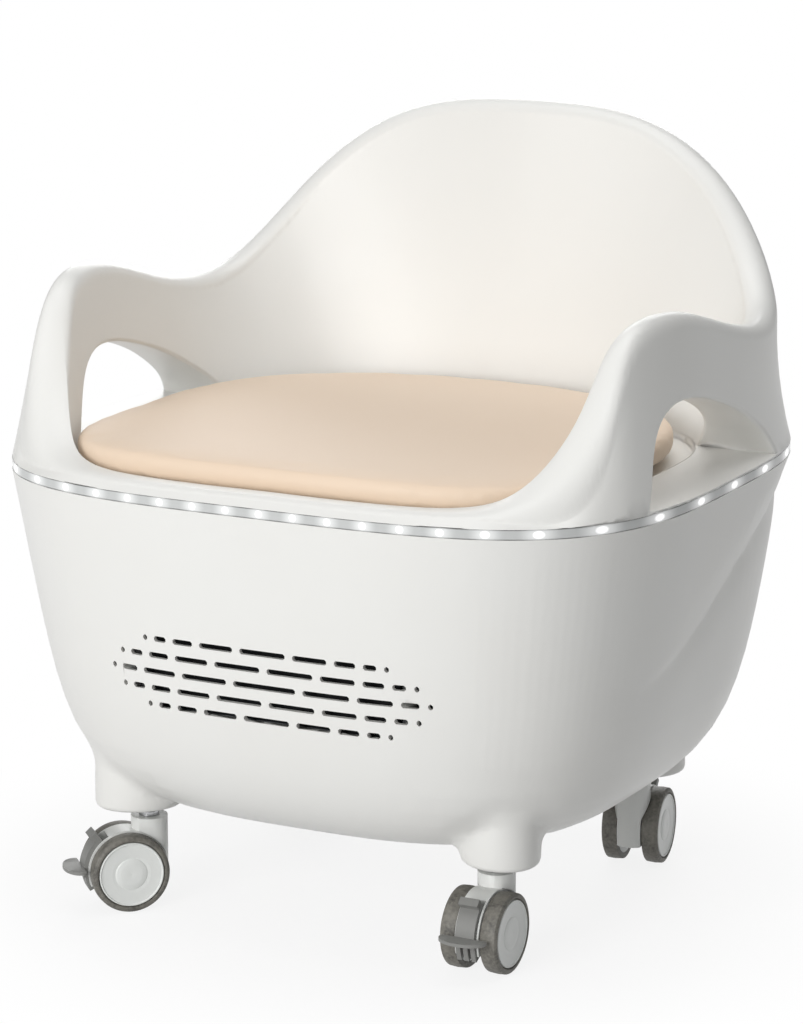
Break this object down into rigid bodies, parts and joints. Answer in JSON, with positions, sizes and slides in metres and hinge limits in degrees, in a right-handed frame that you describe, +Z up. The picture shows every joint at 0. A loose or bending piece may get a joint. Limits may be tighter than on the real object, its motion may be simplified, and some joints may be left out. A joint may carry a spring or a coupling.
{
  "type": "rolling tub armchair",
  "caption": "Rolling tub armchair: rounded bowl base with a front vent and a lit band, moulded arms and back, loose seat cushion, twin-wheel braked casters.",
  "frame": {"origin": "on the floor, under the centre of the lit rim between the tub and the seat shell", "axes": "+Z up, -Y the way the sitter faces, +X towards the sitter's left arm"},
  "size_m": [0.6736, 0.602, 0.7269],
  "materials": {
    "tub": "satin moulded plastic, off-white",
    "seat_shell": "satin moulded plastic, off-white",
    "diffuser": "clear, slightly frosted band",
    "circuit_board": "white coated circuit board",
    "emitter": "lit emitter",
    "cushion_cover": "soft beige leatherette",
    "cushion_board": "plain plywood",
    "cushion_pad": "soft black pads",
    "screen": "dark dust screen",
    "inner_steel": "plain grey coated sheet",
    "fan_plastic": "black moulded plastic",
    "electric_plastic": "black moulded plastic",
    "fastener": "zinc plated",
    "socket_plastic": "grey nylon",
    "caster_steel": "bright turned steel",
    "caster_housing": "white moulded nylon",
    "pedal": "grey moulded nylon",
    "hub": "pale grey moulded nylon",
    "tread": "soft warm grey tread"
  },
  "bodies": {
    "chair": {"tub_shell": "tub", "upper_shell": "seat_shell", "light_diffuser": "diffuser", "light_strip_board": "circuit_board", "light_emitters": "emitter", "dust_screen": "screen", "vent_plate": "inner_steel", "fan_frame": "fan_plastic", "fan_screws": "fastener", "power_supply": "inner_steel", "control_board": "circuit_board", "board_posts": "fan_plastic", "power_inlet": "electric_plastic", "switch_body": "electric_plastic", "shell_screws": "fastener", "stem_sockets": "socket_plastic", "caster_stems": "caster_steel", "bearing_cups": "caster_steel"},
    "cushion": {"seat_cushion": "cushion_cover", "cushion_board": "cushion_board", "cushion_feet": "cushion_pad"},
    "fan_rotor": {"fan_rotor": "fan_plastic"},
    "switch_key": {"switch_key": "electric_plastic"},
    "front_left_swivel": {"front_left_housing": "caster_housing", "front_left_axle": "caster_steel"},
    "front_left_brake": {"front_left_brake_pedal": "pedal"},
    "front_left_left_wheel": {"front_left_left_hub": "hub", "front_left_left_tyre": "tread"},
    "front_left_right_wheel": {"front_left_right_hub": "hub", "front_left_right_tyre": "tread"},
    "front_right_swivel": {"front_right_housing": "caster_housing", "front_right_axle": "caster_steel"},
    "front_right_brake": {"front_right_brake_pedal": "pedal"},
    "front_right_left_wheel": {"front_right_left_hub": "hub", "front_right_left_tyre": "tread"},
    "front_right_right_wheel": {"front_right_right_hub": "hub", "front_right_right_tyre": "tread"},
    "rear_left_swivel": {"rear_left_housing": "caster_housing", "rear_left_axle": "caster_steel"},
    "rear_left_brake": {"rear_left_brake_pedal": "pedal"},
    "rear_left_left_wheel": {"rear_left_left_hub": "hub", "rear_left_left_tyre": "tread"},
    "rear_left_right_wheel": {"rear_left_right_hub": "hub", "rear_left_right_tyre": "tread"},
    "rear_right_swivel": {"rear_right_housing": "caster_housing", "rear_right_axle": "caster_steel"},
    "rear_right_brake": {"rear_right_brake_pedal": "pedal"},
    "rear_right_left_wheel": {"rear_right_left_hub": "hub", "rear_right_left_tyre": "tread"},
    "rear_right_right_wheel": {"rear_right_right_hub": "hub", "rear_right_right_tyre": "tread"}
  },
  "joints": [
    {"name": "cushion_lift", "type": "slide", "parent": "chair", "child": "cushion", "axis": [0, 0, 1], "range_m": [0, 0.15]},
    {"name": "fan_spin", "type": "hinge", "parent": "chair", "child": "fan_rotor", "pos_m": [0, -0.249, 0.263], "axis": [0, 1, 0], "continuous": true},
    {"name": "switch_rock", "type": "hinge", "parent": "chair", "child": "switch_key", "pos_m": [0.026, 0.26, 0.207], "axis": [1, 0, 0], "range_deg": [0, 12]},
    {"name": "front_left_swivel_turn", "type": "hinge", "parent": "chair", "child": "front_left_swivel", "pos_m": [-0.183, -0.176, 0.087], "axis": [0, 0, 1], "continuous": true},
    {"name": "front_left_left_wheel_roll", "type": "hinge", "parent": "front_left_swivel", "child": "front_left_left_wheel", "pos_m": [-0.20026, -0.19267, 0.0375], "axis": [0.6947, -0.7193, 0], "continuous": true},
    {"name": "front_left_right_wheel_roll", "type": "hinge", "parent": "front_left_swivel", "child": "front_left_right_wheel", "pos_m": [-0.20026, -0.19267, 0.0375], "axis": [0.6947, -0.7193, 0], "continuous": true},
    {"name": "front_left_brake_press", "type": "hinge", "parent": "front_left_swivel", "child": "front_left_brake", "pos_m": [-0.21825, -0.21004, 0.052], "axis": [0.6947, -0.7193, 0], "range_deg": [0, 10]},
    {"name": "front_right_swivel_turn", "type": "hinge", "parent": "chair", "child": "front_right_swivel", "pos_m": [0.183, -0.176, 0.087], "axis": [0, 0, 1], "continuous": true},
    {"name": "front_right_left_wheel_roll", "type": "hinge", "parent": "front_right_swivel", "child": "front_right_left_wheel", "pos_m": [0.183, -0.2, 0.0375], "axis": [1, 0, 0], "continuous": true},
    {"name": "front_right_right_wheel_roll", "type": "hinge", "parent": "front_right_swivel", "child": "front_right_right_wheel", "pos_m": [0.183, -0.2, 0.0375], "axis": [1, 0, 0], "continuous": true},
    {"name": "front_right_brake_press", "type": "hinge", "parent": "front_right_swivel", "child": "front_right_brake", "pos_m": [0.183, -0.225, 0.052], "axis": [1, 0, 0], "range_deg": [0, 10]},
    {"name": "rear_left_swivel_turn", "type": "hinge", "parent": "chair", "child": "rear_left_swivel", "pos_m": [-0.183, 0.13, 0.087], "axis": [0, 0, 1], "continuous": true},
    {"name": "rear_left_left_wheel_roll", "type": "hinge", "parent": "rear_left_swivel", "child": "rear_left_left_wheel", "pos_m": [-0.17679, 0.15318, 0.0375], "axis": [-0.9659, 0.2588, 0], "continuous": true},
    {"name": "rear_left_right_wheel_roll", "type": "hinge", "parent": "rear_left_swivel", "child": "rear_left_right_wheel", "pos_m": [-0.17679, 0.15318, 0.0375], "axis": [-0.9659, 0.2588, 0], "continuous": true},
    {"name": "rear_left_brake_press", "type": "hinge", "parent": "rear_left_swivel", "child": "rear_left_brake", "pos_m": [-0.17032, 0.17733, 0.052], "axis": [-0.9659, 0.2588, 0], "range_deg": [0, 10]},
    {"name": "rear_right_swivel_turn", "type": "hinge", "parent": "chair", "child": "rear_right_swivel", "pos_m": [0.183, 0.13, 0.087], "axis": [0, 0, 1], "continuous": true},
    {"name": "rear_right_left_wheel_roll", "type": "hinge", "parent": "rear_right_swivel", "child": "rear_right_left_wheel", "pos_m": [0.17987, 0.15379, 0.0375], "axis": [-0.9914, -0.1305, 0], "continuous": true},
    {"name": "rear_right_right_wheel_roll", "type": "hinge", "parent": "rear_right_swivel", "child": "rear_right_right_wheel", "pos_m": [0.17987, 0.15379, 0.0375], "axis": [-0.9914, -0.1305, 0], "continuous": true},
    {"name": "rear_right_brake_press", "type": "hinge", "parent": "rear_right_swivel", "child": "rear_right_brake", "pos_m": [0.1766, 0.17858, 0.052], "axis": [-0.9914, -0.1305, 0], "range_deg": [0, 10]}
  ]
}
